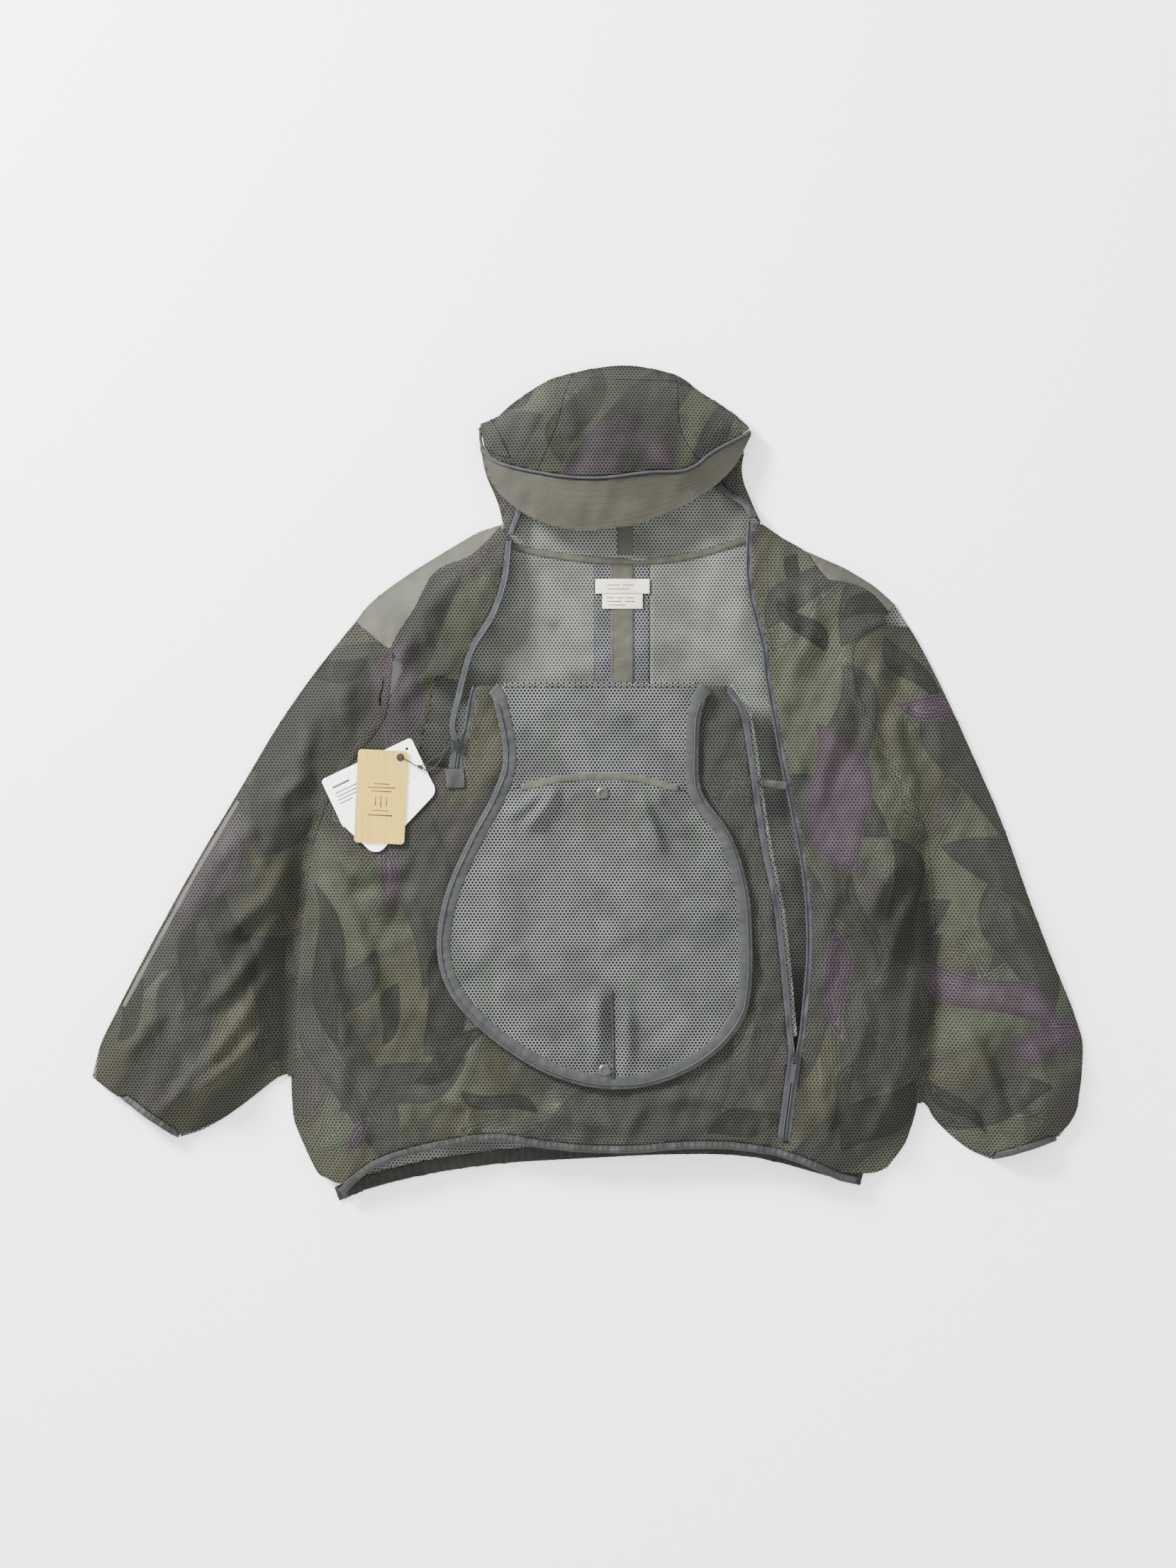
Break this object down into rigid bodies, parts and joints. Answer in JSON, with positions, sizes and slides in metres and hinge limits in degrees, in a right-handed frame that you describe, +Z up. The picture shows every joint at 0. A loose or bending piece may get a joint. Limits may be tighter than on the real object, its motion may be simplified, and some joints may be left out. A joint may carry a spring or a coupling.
{
  "type": "beekeeping jacket",
  "caption": "Hooded beekeeping jacket of printed mesh, laid flat: brimmed hood, open front zips, face veil folded down over the chest, gathered hem and cuffs, hang tags.",
  "frame": {"origin": "on the surface that the jacket lies on, under the middle of its box", "axes": "+Z up from the surface, +Y from the hem towards the hood, +X towards the right sleeve as seen from above"},
  "size_m": [1.0818, 0.915, 0.0548],
  "materials": {
    "printed_mesh": "printed open mesh, matt",
    "pale_mesh": "unprinted inner face of the open mesh, matt",
    "veil_net": "stiff grey net, matt",
    "grey_nylon": "woven nylon, slight sheen",
    "zip_tape": "woven polyester tape, matt",
    "zip_coil": "moulded nylon",
    "slider_metal": "dark painted zinc, satin",
    "snap_metal": "dull plated brass",
    "label_cloth": "woven satin label",
    "bamboo": "lightly lacquered bamboo",
    "white_card": "uncoated card",
    "black_plastic": "moulded plastic",
    "black_cord": "thin braided cord"
  },
  "bodies": {
    "jacket": {"back_left_panel": "pale_mesh", "back_right_panel": "pale_mesh", "back_centre_gusset": "pale_mesh", "back_hem_casing": "grey_nylon", "back_neck_tape": "grey_nylon", "back_centre_tape": "grey_nylon", "brand_label": "label_cloth", "care_label": "label_cloth", "front_panel": "printed_mesh", "front_right_panel": "printed_mesh", "left_shoulder_yoke": "grey_nylon", "right_shoulder_yoke": "grey_nylon", "front_hem_binding": "grey_nylon", "left_sleeve_cap_front": "printed_mesh", "left_sleeve_cap_back": "pale_mesh", "right_sleeve_cap_front": "printed_mesh", "right_sleeve_cap_back": "pale_mesh", "left_zip_outer": "zip_tape", "left_zip_inner": "zip_tape", "right_zip_outer": "zip_tape", "right_zip_inner": "zip_tape", "right_zip_underflap": "pale_mesh", "left_zip_end_patch": "grey_nylon", "right_zip_bottom_stop": "slider_metal", "tag_cord": "black_cord", "tag_cord_seal": "black_plastic"},
    "left_sleeve": {"left_sleeve_front": "printed_mesh", "left_sleeve_back": "pale_mesh", "left_cuff_binding": "zip_tape"},
    "right_sleeve": {"right_sleeve_front": "printed_mesh", "right_sleeve_back": "pale_mesh", "right_cuff_binding": "zip_tape"},
    "veil": {"veil_neck_strip": "veil_net", "face_net": "veil_net", "veil_edge_binding": "zip_tape", "veil_edge_coil": "zip_coil", "veil_seam_tape": "grey_nylon", "veil_upper_snap": "snap_metal", "veil_lower_snap": "snap_metal"},
    "hood": {"crown_left_panel": "printed_mesh", "crown_right_panel": "printed_mesh", "crown_top_panel": "printed_mesh", "crown_centre_panel": "printed_mesh", "brim": "grey_nylon", "brim_piping": "zip_tape", "hood_back": "pale_mesh", "hood_back_seam_tape": "printed_mesh", "hood_left_side": "printed_mesh", "hood_left_zip_tape": "zip_tape", "hood_right_side": "printed_mesh", "hood_right_zip_tape": "zip_tape"},
    "left_slider": {"left_zip_slider": "slider_metal"},
    "left_pull": {"left_zip_pull": "black_cord"},
    "right_slider": {"right_zip_slider": "slider_metal"},
    "right_pull": {"right_zip_pull": "zip_coil"},
    "wood_tag": {"wood_tag": "bamboo", "wood_tag_eyelet": "black_plastic"},
    "text_card": {"text_card": "white_card"},
    "plain_card": {"plain_card": "white_card"}
  },
  "joints": [
    {"name": "veil_fold", "type": "hinge", "parent": "jacket", "child": "veil", "pos_m": [0.01382, 0.10846, 0.0288], "axis": [-1, 0, 0], "range_deg": [0, 110]},
    {"name": "hood_fold", "type": "hinge", "parent": "jacket", "child": "hood", "pos_m": [0.03982, 0.27396, 0.022], "axis": [1, 0, 0], "range_deg": [0, 90]},
    {"name": "left_sleeve_fold", "type": "hinge", "parent": "jacket", "child": "left_sleeve", "pos_m": [-0.35068, -0.04914, 0.0274], "axis": [-0.9236, 0.3833, 0], "range_deg": [0, 120]},
    {"name": "right_sleeve_fold", "type": "hinge", "parent": "jacket", "child": "right_sleeve", "pos_m": [0.40882, -0.04974, 0.0274], "axis": [-0.9728, -0.2316, 0], "range_deg": [0, 120]},
    {"name": "left_slider_travel", "type": "slide", "parent": "jacket", "child": "left_slider", "axis": [-0.1332, -0.9911, 0], "range_m": [0, 0.016]},
    {"name": "left_pull_hinge", "type": "hinge", "parent": "left_slider", "child": "left_pull", "pos_m": [-0.14031, 0.04252, 0.03115], "axis": [0.9911, -0.1332, 0], "range_deg": [0, 160]},
    {"name": "right_slider_travel", "type": "slide", "parent": "jacket", "child": "right_slider", "axis": [-0.1328, -0.9911, 0], "range_m": [0, 0.078]},
    {"name": "right_pull_hinge", "type": "hinge", "parent": "right_slider", "child": "right_pull", "pos_m": [0.22439, -0.29548, 0.03115], "axis": [-0.9911, 0.1328, 0], "range_deg": [0, 160]},
    {"name": "wood_tag_swing", "type": "hinge", "parent": "jacket", "child": "wood_tag", "pos_m": [-0.20298, 0.03016, 0.03], "axis": [0, 0, 1], "range_deg": [-35, 12]},
    {"name": "text_card_swing", "type": "hinge", "parent": "jacket", "child": "text_card", "pos_m": [-0.19618, 0.03946, 0.0276], "axis": [0, 0, 1], "range_deg": [-15, 15]},
    {"name": "plain_card_swing", "type": "hinge", "parent": "jacket", "child": "plain_card", "pos_m": [-0.18718, 0.00816, 0.0285], "axis": [0, 0, 1], "range_deg": [-15, 15]}
  ]
}
